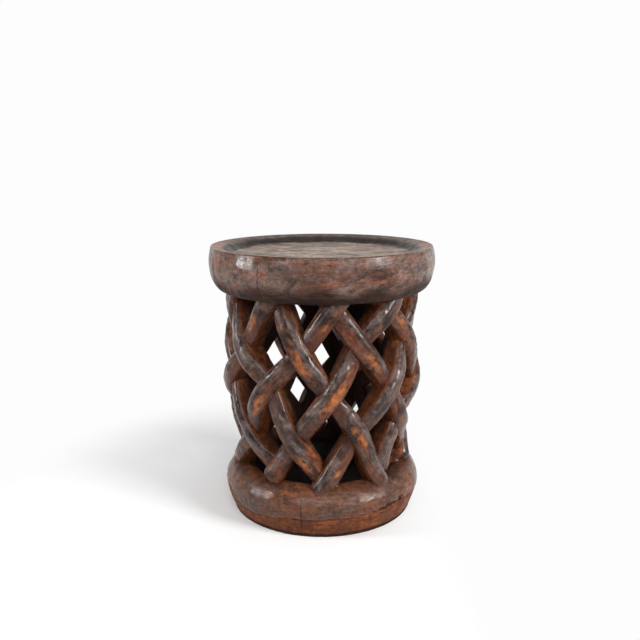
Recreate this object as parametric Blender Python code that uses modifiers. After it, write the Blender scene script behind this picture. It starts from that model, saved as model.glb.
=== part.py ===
"""A carved stool: a dished round seat on an openwork drum of interlaced strands, on a swollen base.

The drum is two families of nine strands that lean opposite ways and pass over and under each
other at five rows of crossings. At each crossing the two strands are halved into one another:
the upper strand keeps its outer part and the lower strand its inner part. Every strand butts
against the underside of the seat and stands on top of the base, which is hollowed inside them.

Metres, +Z up, the origin on the floor under the middle of the stool, the front at -Y.
"""

import math

import bmesh
import bpy
import numpy as np

# Overall sizes
HEIGHT = 0.400
CLEARANCE = 0.0003
OVERRUN = 0.012
TURNED_STEPS = 64

# Seat: a thick disc with a shallow dish inside a broad rim
SEAT_THICKNESS = 0.065
SEAT_WIDEST_RADIUS = 0.1676
SEAT_WIDEST_DROP = 0.021
SEAT_EDGE_RADIUS = 0.146
RIM_OUTER_RADIUS = 0.1640
RIM_CREST_RADIUS = 0.1612
RIM_ROUNDING = 0.0012
RIM_LAND_RADIUS = 0.1500
RIM_LAND_DROP = 0.0022
DISH_FLOOR_RADIUS = 0.1290
DISH_DEPTH = 0.0115
SEAT_LOWER_POINTS = 6
SEAT_UPPER_POINTS = 3

# Base: a disc swollen outside, on a flat underside, with a hollow in its top inside the strands
BASE_HEIGHT = 0.071
BASE_WIDEST_RADIUS = 0.1498
BASE_WIDEST_HEIGHT = 0.040
BASE_FOOT_RADIUS = 0.1376
BASE_SHOULDER_RADIUS = 0.1280
BASE_CROWN_RADIUS = 0.1180
HOLLOW_RADIUS = 0.1010
HOLLOW_EDGE_HEIGHT = 0.0625
HOLLOW_FLOOR_RADIUS = 0.0920
HOLLOW_FLOOR_HEIGHT = 0.030
BASE_FLANK_FULLNESS = 1.6
BASE_FLANK_POINTS = 4
BASE_SHOULDER_POINTS = 6

# Drum: where the outer faces of the strands lie, from the seat down to the base. The heights of
# the bulge, of the waist and of the rows of crossings are shares of the drum's own height.
DRUM_TOP_RADIUS = 0.1440
DRUM_BULGE_RADIUS = 0.1505
DRUM_WAIST_RADIUS = 0.1340
DRUM_FOOT_RADIUS = 0.1375
DRUM_BULGE_SHARE = 0.5075
DRUM_WAIST_SHARE = 0.11
FIRST_ROW_DROP_SHARE = 0.0265
ROW_SPACING_SHARE = 0.2273

# Strands and their crossings
STRANDS_EACH_WAY = 9
STRAND_WIDTH = 0.028
STRAND_DEPTH = 0.036
STRAND_DIP = 0.009
LAP_DEPTH = 0.017
LAP_STEPS = 36
LAP_HEIGHTS = 14
ROWS = 5
START_ANGLE = math.radians(5.5)
STATIONS_PER_ROW = 3
STATIONS_OVER_HEAD = 1
STATIONS_BELOW_FOOT = 2
STATIONS_BESIDE_NOTCH = 2

# Half of a strand's section, from the middle of its outer face round to its inner face, in
# shares of half its width and of its depth
SECTION_SHARES = ((0.0, 0.0), (0.70, 0.05), (0.98, 0.30), (1.14, 1.0))

# How far each crossing was carved away from its even place: round the drum in shares of the
# pitch, and up in shares of the row spacing. One line for each row from the seat down, one
# value for each crossing, counted from the front to the right.
TURN_SHARES = (
    (0.03, -0.02, 0.0, 0.04, 0.0, 0.0, 0.0, 0.0, 0.11),
    (-0.06, -0.04, 0.0, 0.05, 0.0, -0.16, 0.0, -0.02, 0.04),
    (-0.02, -0.02, 0.0, 0.0, 0.0, -0.09, 0.0, 0.0, 0.03),
    (-0.04, -0.18, 0.0, 0.05, 0.0, -0.19, 0.0, -0.04, -0.09),
    (-0.08, -0.13, 0.0, 0.0, 0.0, -0.19, 0.0, 0.0, 0.06),
)
RISE_SHARES = (
    (0.0, -0.08, 0.0, 0.0, 0.0, 0.0, 0.0, 0.0, 0.30),
    (0.10, 0.06, 0.0, 0.0, 0.0, -0.06, 0.0, -0.10, -0.05),
    (-0.05, 0.03, -0.15, -0.15, -0.20, -0.20, -0.15, 0.0, 0.08),
    (-0.07, 0.10, 0.0, 0.10, -0.15, -0.06, 0.0, -0.25, -0.24),
    (-0.20, -0.32, 0.0, 0.0, 0.0, 0.0, 0.0, 0.0, 0.0),
)

SEAT_UNDERSIDE = HEIGHT - SEAT_THICKNESS
DRUM_HEIGHT = SEAT_UNDERSIDE - BASE_HEIGHT
DRUM_BULGE_HEIGHT = BASE_HEIGHT + DRUM_HEIGHT * DRUM_BULGE_SHARE
DRUM_WAIST_HEIGHT = BASE_HEIGHT + DRUM_HEIGHT * DRUM_WAIST_SHARE
FIRST_ROW_HEIGHT = SEAT_UNDERSIDE - DRUM_HEIGHT * FIRST_ROW_DROP_SHARE
ROW_SPACING = DRUM_HEIGHT * ROW_SPACING_SHARE
PITCH = 2 * math.pi / STRANDS_EACH_WAY
SHARP_ANGLE = math.radians(35)


def clear_scene():
    for obj in list(bpy.data.objects):
        bpy.data.objects.remove(obj, do_unlink=True)


def new_collection(name):
    collection = bpy.data.collections.new(name)
    bpy.context.scene.collection.children.link(collection)
    return collection


def wood(name, colour, roughness):
    material = bpy.data.materials.new(name)
    material.use_nodes = True
    shader = material.node_tree.nodes["Principled BSDF"]
    shader.inputs["Base Color"].default_value = (*colour, 1.0)
    shader.inputs["Roughness"].default_value = roughness
    shader.inputs["Metallic"].default_value = 0.0
    return material


def add_part(name, mesh, material):
    part = bpy.data.objects.new(name, mesh)
    parts.objects.link(part)
    mesh.materials.append(material)
    mesh.shade_smooth()
    mesh.set_sharp_from_angle(angle=SHARP_ANGLE)
    return part


def add_cutter(name, mesh):
    cutter = bpy.data.objects.new(name, mesh)
    cutters.objects.link(cutter)
    cutter.hide_render = True
    cutter.display_type = "WIRE"
    return cutter


def combine(obj, operation, other):
    boolean = obj.modifiers.new(other.name, "BOOLEAN")
    boolean.operation = operation
    boolean.solver = "EXACT"
    boolean.object = other


def turned_mesh(name, profile):
    """Profile of (radius, height) points from axis to axis, as a line of edges to be turned."""
    mesh = bpy.data.meshes.new(name)
    vertices = [(radius, 0.0, height) for radius, height in profile]
    edges = [(i, i + 1) for i in range(len(profile) - 1)]
    mesh.from_pydata(vertices, edges, [])
    return mesh


def turn(obj, steps):
    screw = obj.modifiers.new("Turned", "SCREW")
    screw.axis = "Z"
    screw.angle = 2 * math.pi
    screw.steps = steps
    screw.render_steps = steps
    screw.use_merge_vertices = True
    screw.merge_threshold = 0.00001


# Seat

def seat_profile():
    """From the middle of the dish over the rim, down the outer side and back to the axis."""
    dish_floor = HEIGHT - DISH_DEPTH
    widest_height = HEIGHT - SEAT_WIDEST_DROP
    rim_edge_height = HEIGHT - RIM_ROUNDING
    points = [
        (0.0, dish_floor),
        (DISH_FLOOR_RADIUS, dish_floor),
        (RIM_LAND_RADIUS, HEIGHT - RIM_LAND_DROP),
        (RIM_CREST_RADIUS, HEIGHT),
        (RIM_OUTER_RADIUS, rim_edge_height),
    ]
    # From the rim out to the widest place, ever more steeply
    for i in range(1, SEAT_UPPER_POINTS):
        share = i / SEAT_UPPER_POINTS
        swell = (SEAT_WIDEST_RADIUS - RIM_OUTER_RADIUS) * (1 - (1 - share) ** 2)
        fall = (rim_edge_height - widest_height) * share
        points.append((RIM_OUTER_RADIUS + swell, rim_edge_height - fall))
    # From the widest place in to the lower edge, a quarter of an ellipse
    for i in range(SEAT_LOWER_POINTS + 1):
        angle = math.pi / 2 * i / SEAT_LOWER_POINTS
        radius = SEAT_EDGE_RADIUS + (SEAT_WIDEST_RADIUS - SEAT_EDGE_RADIUS) * math.cos(angle)
        points.append((radius, widest_height - (widest_height - SEAT_UNDERSIDE) * math.sin(angle)))
    points.append((0.0, SEAT_UNDERSIDE))
    return points


# Base

def base_outer_side(grown):
    """Over the shoulder and down the flank; grown sets the side that much further out."""
    points = []
    # The shoulder, a quarter of an ellipse down to the widest place
    for i in range(BASE_SHOULDER_POINTS + 1):
        angle = math.pi / 2 * (1 - i / BASE_SHOULDER_POINTS)
        swell = (BASE_WIDEST_RADIUS + grown - BASE_SHOULDER_RADIUS) * math.cos(angle)
        rise = (BASE_HEIGHT + grown - BASE_WIDEST_HEIGHT) * math.sin(angle)
        points.append((BASE_SHOULDER_RADIUS + swell, BASE_WIDEST_HEIGHT + rise))
    # The flank, drawn in towards the floor
    for i in range(BASE_FLANK_POINTS - 1, -1, -1):
        share = i / BASE_FLANK_POINTS
        swell = (BASE_WIDEST_RADIUS - BASE_FOOT_RADIUS) * (1 - (1 - share) ** BASE_FLANK_FULLNESS)
        points.append((BASE_FOOT_RADIUS + grown + swell, BASE_WIDEST_HEIGHT * share))
    return points


def base_profile():
    """From the middle of the hollow over the crown, down the outer side and back to the axis."""
    hollow_and_crown = [
        (0.0, HOLLOW_FLOOR_HEIGHT),
        (HOLLOW_FLOOR_RADIUS, HOLLOW_FLOOR_HEIGHT),
        (HOLLOW_RADIUS, HOLLOW_EDGE_HEIGHT),
        (BASE_CROWN_RADIUS, BASE_HEIGHT),
    ]
    return hollow_and_crown + base_outer_side(grown=0.0) + [(0.0, 0.0)]


# Drum of strands

def smooth_step(share):
    share = np.clip(share, 0.0, 1.0)
    return share * share * (3 - 2 * share)


def drum_radius(height):
    """Radius of the strands' outer faces: it swells below the seat and narrows above the base."""
    upper = smooth_step((SEAT_UNDERSIDE - height) / (SEAT_UNDERSIDE - DRUM_BULGE_HEIGHT))
    middle = smooth_step((DRUM_BULGE_HEIGHT - height) / (DRUM_BULGE_HEIGHT - DRUM_WAIST_HEIGHT))
    lower = smooth_step((DRUM_WAIST_HEIGHT - height) / (DRUM_WAIST_HEIGHT - BASE_HEIGHT))
    return (DRUM_TOP_RADIUS
            + (DRUM_BULGE_RADIUS - DRUM_TOP_RADIUS) * upper
            + (DRUM_WAIST_RADIUS - DRUM_BULGE_RADIUS) * middle
            + (DRUM_FOOT_RADIUS - DRUM_WAIST_RADIUS) * lower)


def crossing(row, place):
    """Angle round the drum and height of one crossing; odd rows lie half a pitch along."""
    column = place % STRANDS_EACH_WAY
    position = place + (row % 2) / 2 + TURN_SHARES[row][column]
    height = FIRST_ROW_HEIGHT - ROW_SPACING * (row - RISE_SHARES[row][column])
    return START_ANGLE + PITCH * position, height


def strand_route(number, leans_right):
    """Crossings of a strand from the seat down, with one more beyond each end in the same line."""
    knots = []
    for row in range(ROWS):
        place = number - (row + 1) // 2 if leans_right else number + row // 2
        knots.append(crossing(row, place))
    knots = np.array(knots)
    before = 2 * knots[0] - knots[1]
    after = 2 * knots[-1] - knots[-2]
    return np.vstack([before, knots, after])


def along(route, station):
    """Smooth curve through the crossings (a cardinal spline); station 1 is one row further down."""
    span = np.clip(np.floor(station).astype(int), 0, ROWS - 2)
    share = (station - span)[:, None]
    before, start, end, after = (route[span + i] for i in range(4))
    start_slope = (end - before) / 2
    end_slope = (after - start) / 2
    square, cube = share ** 2, share ** 3
    return ((2 * cube - 3 * square + 1) * start + (cube - 2 * square + share) * start_slope
            + (3 * square - 2 * cube) * end + (cube - square) * end_slope)


def strand_frames(route, stations):
    """Centre line as (angle, height), its radius, and the sideways direction on the drum."""
    centre = along(route, stations)
    radius = drum_radius(centre[:, 1])
    nearby = 0.1 / STATIONS_PER_ROW
    ahead = along(route, stations + nearby) - along(route, stations - nearby)
    ahead[:, 0] *= radius
    ahead /= np.linalg.norm(ahead, axis=1)[:, None]
    sideways = np.stack([-ahead[:, 1], ahead[:, 0]], axis=1)
    return centre, radius, sideways


def goes_over(leans_right, row):
    return leans_right == (row % 2 == 0)


def sink(section, leans_right, stations):
    """Lower the outer face in a wave: nothing where the strand goes over, all where it goes under."""
    phase = stations if leans_right else stations + 1
    sunk = STRAND_DIP * (1 - np.cos(math.pi * phase)) / 2
    section[:, :, 1] += sunk[:, None] * np.clip(1 - section[:, :, 1] / STRAND_DEPTH, 0.0, 1.0)


def loft(name, number, leans_right, stations, outline):
    """Closed loft along a strand, with an outline of (sideways, inwards) points at each station."""
    route = strand_route(number, leans_right)
    centre, radius, sideways = strand_frames(route, stations)
    section = np.repeat(outline[None], len(stations), axis=0)
    sink(section, leans_right, stations)
    across = section[:, :, 0]
    angle = centre[:, :1] + across * sideways[:, :1] / radius[:, None]
    height = centre[:, 1:] + across * sideways[:, 1:]
    out = drum_radius(height) - section[:, :, 1]
    points = np.stack([out * np.sin(angle), -out * np.cos(angle), height], axis=2)

    mesh = bpy.data.meshes.new(name)
    build = bmesh.new()
    loops = [[build.verts.new(point) for point in ring] for ring in points.tolist()]
    corners = len(outline)
    for upper, lower in zip(loops, loops[1:]):
        for i in range(corners):
            j = (i + 1) % corners
            build.faces.new((upper[i], upper[j], lower[j]))
            build.faces.new((upper[i], lower[j], lower[i]))
    build.faces.new(loops[0][::-1])
    build.faces.new(loops[-1])
    bmesh.ops.recalc_face_normals(build, faces=build.faces[:])
    build.to_mesh(mesh)
    build.free()
    return mesh


def strand_mesh(name, number, leans_right):
    last = (ROWS - 1) * STATIONS_PER_ROW + STATIONS_BELOW_FOOT
    stations = np.arange(-STATIONS_OVER_HEAD, last + 1) / STATIONS_PER_ROW
    half = np.array(SECTION_SHARES) * (STRAND_WIDTH / 2, STRAND_DEPTH)
    outline = np.vstack([half, half[:0:-1] * (-1, 1)])
    return loft(name, number, leans_right, stations, outline)


def notch_mesh(name, number, leans_right, row):
    """The room that a strand takes at a crossing, with its own sides, drawn out past both faces."""
    reach = np.arange(-STATIONS_BESIDE_NOTCH, STATIONS_BESIDE_NOTCH + 1) / STATIONS_PER_ROW
    sides = np.array(SECTION_SHARES[-2:]) * (STRAND_WIDTH / 2, STRAND_DEPTH) + (CLEARANCE, 0.0)
    outer_edge = sides[0] * (1, 0) - (0.0, OVERRUN)
    inner_edge = sides[-1] + (0.0, OVERRUN)
    half = np.vstack([outer_edge, sides, inner_edge])
    outline = np.vstack([half, half[::-1] * (-1, 1)])
    return loft(name, number, leans_right, row + reach, outline)


def lap_profile(grown):
    """Where halved strands meet: a turned surface at one depth below the drum's outer faces."""
    heights = np.linspace(HEIGHT, 0.0, LAP_HEIGHTS)
    radii = drum_radius(heights) - LAP_DEPTH + grown
    side = list(zip(radii.tolist(), heights.tolist()))
    return [(0.0, HEIGHT)] + side + [(0.0, 0.0)]


clear_scene()
parts = new_collection("carved_stool")
cutters = new_collection("cutters")

seat_wood = wood("seat_wood", (0.150, 0.085, 0.055), 0.50)
seat = add_part("seat", turned_mesh("seat", seat_profile()), seat_wood)
turn(seat, TURNED_STEPS)

base_wood = wood("base_wood", (0.145, 0.070, 0.040), 0.52)
base = add_part("base", turned_mesh("base", base_profile()), base_wood)
turn(base, TURNED_STEPS)

# Room for the seat and for the base, which the strands are cut off at; both rooms run through to
# the axis, so that the inner half of a foot is cut off level with the crown
seat_room_profile = [
    (0.0, HEIGHT),
    (SEAT_WIDEST_RADIUS, HEIGHT),
    (SEAT_WIDEST_RADIUS, SEAT_UNDERSIDE - CLEARANCE),
    (0.0, SEAT_UNDERSIDE - CLEARANCE),
]
seat_room = add_cutter("seat_room", turned_mesh("seat_room", seat_room_profile))
turn(seat_room, TURNED_STEPS)
base_room_side = base_outer_side(grown=CLEARANCE)
base_room_profile = [(0.0, BASE_HEIGHT + CLEARANCE)] + base_room_side + [(0.0, 0.0)]
base_room = add_cutter("base_room", turned_mesh("base_room", base_room_profile))
turn(base_room, TURNED_STEPS)

# What lies inside the surface on which the halved strands meet, for upper and for lower strands
upper_lap = add_cutter("upper_lap", turned_mesh("upper_lap", lap_profile(grown=CLEARANCE)))
turn(upper_lap, LAP_STEPS)
lower_lap = add_cutter("lower_lap", turned_mesh("lower_lap", lap_profile(grown=0.0)))
turn(lower_lap, LAP_STEPS)

right_wood = wood("right_strand_wood", (0.120, 0.065, 0.042), 0.46)
left_wood = wood("left_strand_wood", (0.135, 0.068, 0.040), 0.46)
for leans_right, side, material in ((True, "right", right_wood), (False, "left", left_wood)):
    for number in range(STRANDS_EACH_WAY):
        name = f"{side}_leaning_strand_{number + 1}"
        strand = add_part(name, strand_mesh(name, number, leans_right), material)
        combine(strand, "DIFFERENCE", seat_room)
        combine(strand, "DIFFERENCE", base_room)
        for row in range(ROWS):
            other = number - row if leans_right else number + row
            notch_name = f"{name}_notch_{row + 1}"
            notch = add_cutter(notch_name, notch_mesh(notch_name, other, not leans_right, row))
            if goes_over(leans_right, row):
                combine(notch, "INTERSECT", upper_lap)
            else:
                combine(notch, "DIFFERENCE", lower_lap)
            combine(strand, "DIFFERENCE", notch)
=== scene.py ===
"""The carved stool dressed for its portrait: one hollowed log of dark wood, polished by use.

Metres, +Z up, the origin on the floor under the middle of the stool, the front at -Y.
"""

import math

import bpy
import numpy as np
from mathutils import Matrix


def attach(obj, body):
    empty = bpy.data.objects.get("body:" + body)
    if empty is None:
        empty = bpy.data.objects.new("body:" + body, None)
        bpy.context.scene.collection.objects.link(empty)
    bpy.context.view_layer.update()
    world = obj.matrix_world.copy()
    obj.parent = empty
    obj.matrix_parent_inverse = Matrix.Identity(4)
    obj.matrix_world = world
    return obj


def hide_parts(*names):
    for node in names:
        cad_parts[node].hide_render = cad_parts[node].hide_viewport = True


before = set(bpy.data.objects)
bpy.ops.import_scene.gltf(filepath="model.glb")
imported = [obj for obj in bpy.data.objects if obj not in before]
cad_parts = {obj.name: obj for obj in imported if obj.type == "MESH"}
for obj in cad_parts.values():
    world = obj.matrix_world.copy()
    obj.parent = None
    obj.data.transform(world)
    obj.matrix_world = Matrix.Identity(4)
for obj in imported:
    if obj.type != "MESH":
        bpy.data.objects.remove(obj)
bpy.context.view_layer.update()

# Camera
# It stands 1.1 m in front of the stool, a little above its seat, and looks slightly down.
CAMERA_PLACE = (-0.00253, -1.1, 0.51932)
CAMERA_PITCH = 0.21013
CAMERA_ROLL = -0.00191
FOCAL_LENGTH_IN_IMAGE_WIDTHS = 1.16184
SENSOR_WIDTH = 36.0

camera_data = bpy.data.cameras.new("portrait_camera")
camera_data.sensor_width = SENSOR_WIDTH
camera_data.lens = FOCAL_LENGTH_IN_IMAGE_WIDTHS * SENSOR_WIDTH
camera = bpy.data.objects.new("portrait_camera", camera_data)
bpy.context.scene.collection.objects.link(camera)
camera.matrix_world = (Matrix.Translation(CAMERA_PLACE)
                       @ Matrix.Rotation(math.pi / 2 - CAMERA_PITCH, 4, "X")
                       @ Matrix.Rotation(CAMERA_ROLL, 4, "Z"))
bpy.context.scene.camera = camera


# Seat
# The top of the log: a thick disc with a rounded side, hollowed on top into a shallow dish
# inside a broad rim. It is carved by hand, so nothing is quite round. Handling has polished the
# side and left the dish's floor dull, and drying has opened a few upright cracks in the side.
SEAT_OUTLINE = (
    (0.0, 0.3887), (0.040, 0.3886), (0.080, 0.3885), (0.115, 0.3885), (0.127, 0.3887),
    (0.1335, 0.3903), (0.1410, 0.3945), (0.1480, 0.3974), (0.1540, 0.3984), (0.1590, 0.3993),
    (0.1617, 0.3999), (0.1634, 0.3994), (0.1647, 0.3966), (0.1661, 0.3905), (0.1671, 0.3845),
    (0.1676, 0.3790), (0.1673, 0.3700), (0.1661, 0.3615), (0.1636, 0.3530), (0.1594, 0.3450),
    (0.1530, 0.3385), (0.1460, 0.3355), (0.1380, 0.3350), (0.070, 0.3350), (0.0, 0.3350),
)
SEAT_ROWS = 190
SEAT_COLUMNS = 420
# Drying cracks: angle in degrees, upper and lower height, half width, depth
SEAT_CRACKS = ((-30.4, 0.3985, 0.3370, 0.00050, 0.0024), (33.2, 0.3940, 0.3560, 0.00022, 0.0006),
               (54.5, 0.3960, 0.3600, 0.00022, 0.0007), (-163.0, 0.3970, 0.3500, 0.00045, 0.0018),
               (121.0, 0.3920, 0.3600, 0.00030, 0.0010))
# Places rubbed back to bare wood: angle in degrees, height, half width, half height, strength
SEAT_WORN = ((-28.3, 0.3765, 0.007, 0.0065, 1.0), (-33.6, 0.3735, 0.007, 0.004, 0.8),
             (-46.0, 0.3560, 0.016, 0.006, 0.6), (-13.5, 0.3945, 0.014, 0.003, 0.6),
             (4.5, 0.3935, 0.016, 0.0035, 0.8), (5.0, 0.3650, 0.016, 0.004, 0.6),
             (26.5, 0.3655, 0.013, 0.003, 0.8), (39.5, 0.3700, 0.008, 0.006, 0.8),
             (47.0, 0.3880, 0.012, 0.005, 0.4), (-60.0, 0.3840, 0.010, 0.012, 0.7),
             (88.0, 0.3720, 0.022, 0.008, 0.8), (126.0, 0.3640, 0.020, 0.007, 0.7),
             (160.0, 0.3820, 0.024, 0.006, 0.8), (-150.0, 0.3690, 0.022, 0.007, 0.9),
             (-112.0, 0.3860, 0.018, 0.006, 0.7), (-92.0, 0.3600, 0.018, 0.006, 0.6))
# Dark slate-grey places, in the same terms
SEAT_SLATE = ((-19.0, 0.3850, 0.014, 0.007, 0.9), (52.0, 0.3750, 0.010, 0.009, 0.9),
              (-6.0, 0.3720, 0.018, 0.006, 0.6), (-42.0, 0.3880, 0.008, 0.006, 0.5),
              (17.0, 0.3800, 0.012, 0.008, 0.5), (110.0, 0.3800, 0.020, 0.009, 0.8),
              (-135.0, 0.3820, 0.020, 0.008, 0.8), (175.0, 0.3680, 0.018, 0.008, 0.7))
# Radii on the top, as pairs over which one finish goes over into the next: from the crest inwards
# come a thin dark line, the worn land with painted sheen, the dark slope with its foot, and the dull floor
TOP_FACE_HEIGHT = 0.3870
TOP_EDGE = (0.1625, 0.1600)
CREST_LINE_RADIUS = 0.1630
CREST_LINE_BREADTH = 0.0012
CREST_LINE_WAVER = 0.0005
LAND_EDGE = (0.1410, 0.1500)
LAND_WAVER = 0.0008
SLOPE_EDGE = (0.1285, 0.1310)
SLOPE_FOOT_RADIUS = 0.1300
SLOPE_FOOT_BREADTH = 0.0014
SLOPE_FOOT_WAVER = 0.0004
# Heights between which the side goes over into its lower curve, darkened with painted shade
SHADED_CURVE_EDGE = (0.3640, 0.3440)
SHADED_CURVE_WAVER = 0.003
# Where the carver's marks of the side and of the dish fade out, and over what breadth
SIDE_START_RADIUS = 0.150
SIDE_BLEND = 0.012
DISH_END_RADIUS = 0.158
DISH_BLEND = 0.010
UPPER_HALF_HEIGHT = 0.36
SEAT_HEIGHT = 0.400
CREST_BLEND = 0.004
HIGHEST_POINT = 0.3999
DISH_MIDDLE = (0.0, 0.0, 0.3884)
SEAT_UNDERSIDE = (0.0, 0.0, 0.3350)
# Depths of the slow swells, the facets and the short marks of the tools
SIDE_SWELLS = 0.0006
SIDE_FACETS = 0.00035
SIDE_MARKS = 0.0002
CREST_MARKS = 0.0004
CREST_MARKS_HEIGHT = 0.39
DISH_SWELLS = 0.0009
DISH_MARKS = 0.0002
DISH_MARKS_RADIUS = 0.145
# How far a crack sways to each side, as an angle, and the radius at which its width is taken
CRACK_SWAY = (0.002, 0.005)
CRACK_RADIUS = 0.16
# A crack's mask, which paints shade into it, is full where it is this deep
CRACK_FULL_DEPTH = 0.0010


def smooth_line(points, count):
    """Evenly spaced points on a smooth line through the given ones.

    The length along the straight pieces is the parameter; each coordinate is a cubic between
    neighbouring points, whose slopes there are the averages of the slopes on both sides.
    """
    points = np.array(points, float)
    length = np.concatenate([[0.0], np.cumsum(np.linalg.norm(np.diff(points, axis=0), axis=1))])
    slope = np.gradient(points, length, axis=0)

    def at(position):
        span = np.clip(np.searchsorted(length, position, side="right") - 1, 0, len(length) - 2)
        step = (length[span + 1] - length[span])[:, None]
        t = (position - length[span])[:, None] / step
        return ((2 * t ** 3 - 3 * t ** 2 + 1) * points[span]
                + (t ** 3 - 2 * t ** 2 + t) * step * slope[span]
                + (3 * t ** 2 - 2 * t ** 3) * points[span + 1]
                + (t ** 3 - t ** 2) * step * slope[span + 1])

    fine = at(np.linspace(0.0, length[-1], count * 8))
    travelled = np.concatenate([[0.0], np.cumsum(np.linalg.norm(np.diff(fine, axis=0), axis=1))])
    even = np.linspace(0.0, travelled[-1], count)
    return np.stack([np.interp(even, travelled, fine[:, i]) for i in range(fine.shape[1])], axis=1)


def unevenness(points, wavelength, seed, waves=14):
    """Smooth carved unevenness between about -1 and 1 at each point in space.

    It is the mean of plane waves in random directions, each with a length near the given one.
    """
    draw = np.random.default_rng(seed)
    direction = draw.normal(size=(waves, 3))
    direction /= np.linalg.norm(direction, axis=1)[:, None]
    number = 2 * math.pi / (wavelength * draw.uniform(0.75, 1.5, waves))
    phase = draw.uniform(0.0, 2 * math.pi, waves)
    return np.cos(points @ (direction * number[:, None]).T + phase).sum(axis=-1) / math.sqrt(waves)


def rise(value, low, high):
    """Smooth step from 0 at the low value to 1 at the high one, or down where low is above high."""
    share = np.clip((value - low) / (high - low), 0.0, 1.0)
    return share * share * (3 - 2 * share)


def apart(angle, degrees):
    """Signed angle from a direction given in degrees, between half a turn each way."""
    return (angle - math.radians(degrees) + math.pi) % (2 * math.pi) - math.pi


def round_axis(radius, angle, height):
    """Points round the stool's axis: x = r sin(angle), y = -r cos(angle), so angle 0 is the front."""
    return np.stack([radius * np.sin(angle), -radius * np.cos(angle), height], axis=-1)


def crack_depth(angle, height, cracks, seed):
    """How deep drying cracks cut into a turned side: a V across each crack that closes at its ends.

    Each crack wanders from side to side on its way down, by the sum of a slow and a quick sine.
    """
    draw = np.random.default_rng(seed)
    total = np.zeros_like(angle)
    for degrees, upper, lower, half_width, depth in cracks:
        sway, phase = draw.uniform(*CRACK_SWAY), draw.uniform(0.0, 2 * math.pi)
        share = np.clip((upper - height) / (upper - lower), 0.0, 1.0)
        wander = sway * np.sin(9 * share + phase) + sway / 2 * np.sin(31 * share)
        off = np.abs(apart(angle - wander, degrees))
        opening = np.sqrt(np.clip(4 * share * (1 - share), 0.0, 1.0))
        reach = half_width / CRACK_RADIUS * opening + 1e-6
        total += depth * opening * np.clip(1 - off / reach, 0.0, 1.0)
    return total


def worn_share(angle, height, radius, places):
    """Sum of soft round-edged places on a turned side, each a bell in arc length and height."""
    total = np.zeros_like(angle)
    for degrees, middle, half_width, half_height, strength in places:
        arc = apart(angle, degrees) * radius
        total += strength * np.exp(-(arc / half_width) ** 2 - ((height - middle) / half_height) ** 2)
    return np.clip(total, 0.0, 1.0)


def angles_round(columns, cracks):
    """Angles of the columns of a turned grid, even but for a few close ones beside each crack."""
    even = np.arange(columns) * 2 * math.pi / columns - math.pi
    one_side = np.array([0.0015, 0.003, 0.0045, 0.0065, 0.009, 0.012])
    beside = np.concatenate([-one_side[::-1], [0.0], one_side])
    close = [math.radians(crack[0]) + beside for crack in cracks]
    clear_of_crack = 0.014
    for line in close:
        even = even[np.abs(even - line.mean()) > clear_of_crack]
    return np.sort(np.concatenate([even, *close]))


def add_surface(name, points, tip_ends):
    """Closed surface from a (rows, columns, 3) grid that wraps round from the last column to the first.

    Each end is closed with a fan to the middle of its row, or to a given tip point.
    """
    rows, columns = points.shape[:2]
    tips = [points[0].mean(axis=0) if tip_ends[0] is None else tip_ends[0],
            points[-1].mean(axis=0) if tip_ends[1] is None else tip_ends[1]]
    vertices = np.vstack([points.reshape(-1, 3), tips])
    index = np.arange(rows * columns).reshape(rows, columns)
    right = np.roll(index, -1, axis=1)
    quads = np.stack([index[:-1], index[1:], right[1:], right[:-1]], axis=-1).reshape(-1, 4)
    start_fan = np.stack([np.full(columns, rows * columns), index[0], right[0]], axis=-1)
    end_fan = np.stack([np.full(columns, rows * columns + 1), right[-1], index[-1]], axis=-1)
    faces = quads.tolist() + start_fan.tolist() + end_fan.tolist()
    mesh = bpy.data.meshes.new(name)
    mesh.from_pydata(vertices.tolist(), [], faces)
    mesh.shade_smooth()
    piece = bpy.data.objects.new(name, mesh)
    bpy.context.scene.collection.objects.link(piece)
    return piece


def add_mask(piece, name, values):
    """A number between 0 and 1 on each vertex, which the material reads by its name."""
    attribute = piece.data.attributes.new(name, "FLOAT", "POINT")
    full = np.zeros(len(piece.data.vertices), np.float32)
    flat = np.asarray(values, np.float32).ravel()
    full[:len(flat)] = flat
    full[len(flat):] = flat[-1]
    attribute.data.foreach_set("value", full)


line = smooth_line(SEAT_OUTLINE, SEAT_ROWS)[1:-1]
angle = angles_round(SEAT_COLUMNS, SEAT_CRACKS)[None, :] + 0 * line[:, :1]
radius, height = line[:, :1] + 0 * angle, line[:, 1:] + 0 * angle
on_side = (np.clip((radius - SIDE_START_RADIUS) / SIDE_BLEND, 0.0, 1.0)
           * np.clip((SEAT_HEIGHT - height) / CREST_BLEND, 0.0, 1.0))
in_dish = np.clip((DISH_END_RADIUS - radius) / DISH_BLEND, 0.0, 1.0) * (height > UPPER_HALF_HEIGHT)
spot = round_axis(radius, angle, height)
lumps = unevenness(spot, wavelength=0.055, seed=3)
cuts = unevenness(spot, wavelength=0.017, seed=4)
seat_crack = crack_depth(angle, height, SEAT_CRACKS, seed=5)
facets = unevenness(spot * (1, 1, 0.3), wavelength=0.021, seed=6)
out = radius - on_side * (SIDE_SWELLS * (1 + lumps / 2) + SIDE_FACETS * (1 + facets)
                          + SIDE_MARKS * (1 + cuts) + seat_crack)
up = (height - DISH_SWELLS * in_dish * (1 - lumps) / 2
      + DISH_MARKS * in_dish * np.clip(cuts, -1, 1) * (radius < DISH_MARKS_RADIUS)
      - CREST_MARKS * on_side * (1 + cuts) * (height > CREST_MARKS_HEIGHT))
up = np.minimum(up, HIGHEST_POINT)
seat = add_surface("carved_seat", round_axis(out, angle, up), (DISH_MIDDLE, SEAT_UNDERSIDE))
top_face = height > TOP_FACE_HEIGHT
# The far side, where the land gets no painted sheen
far_side = rise(-np.cos(angle), -0.1, 0.7)
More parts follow.
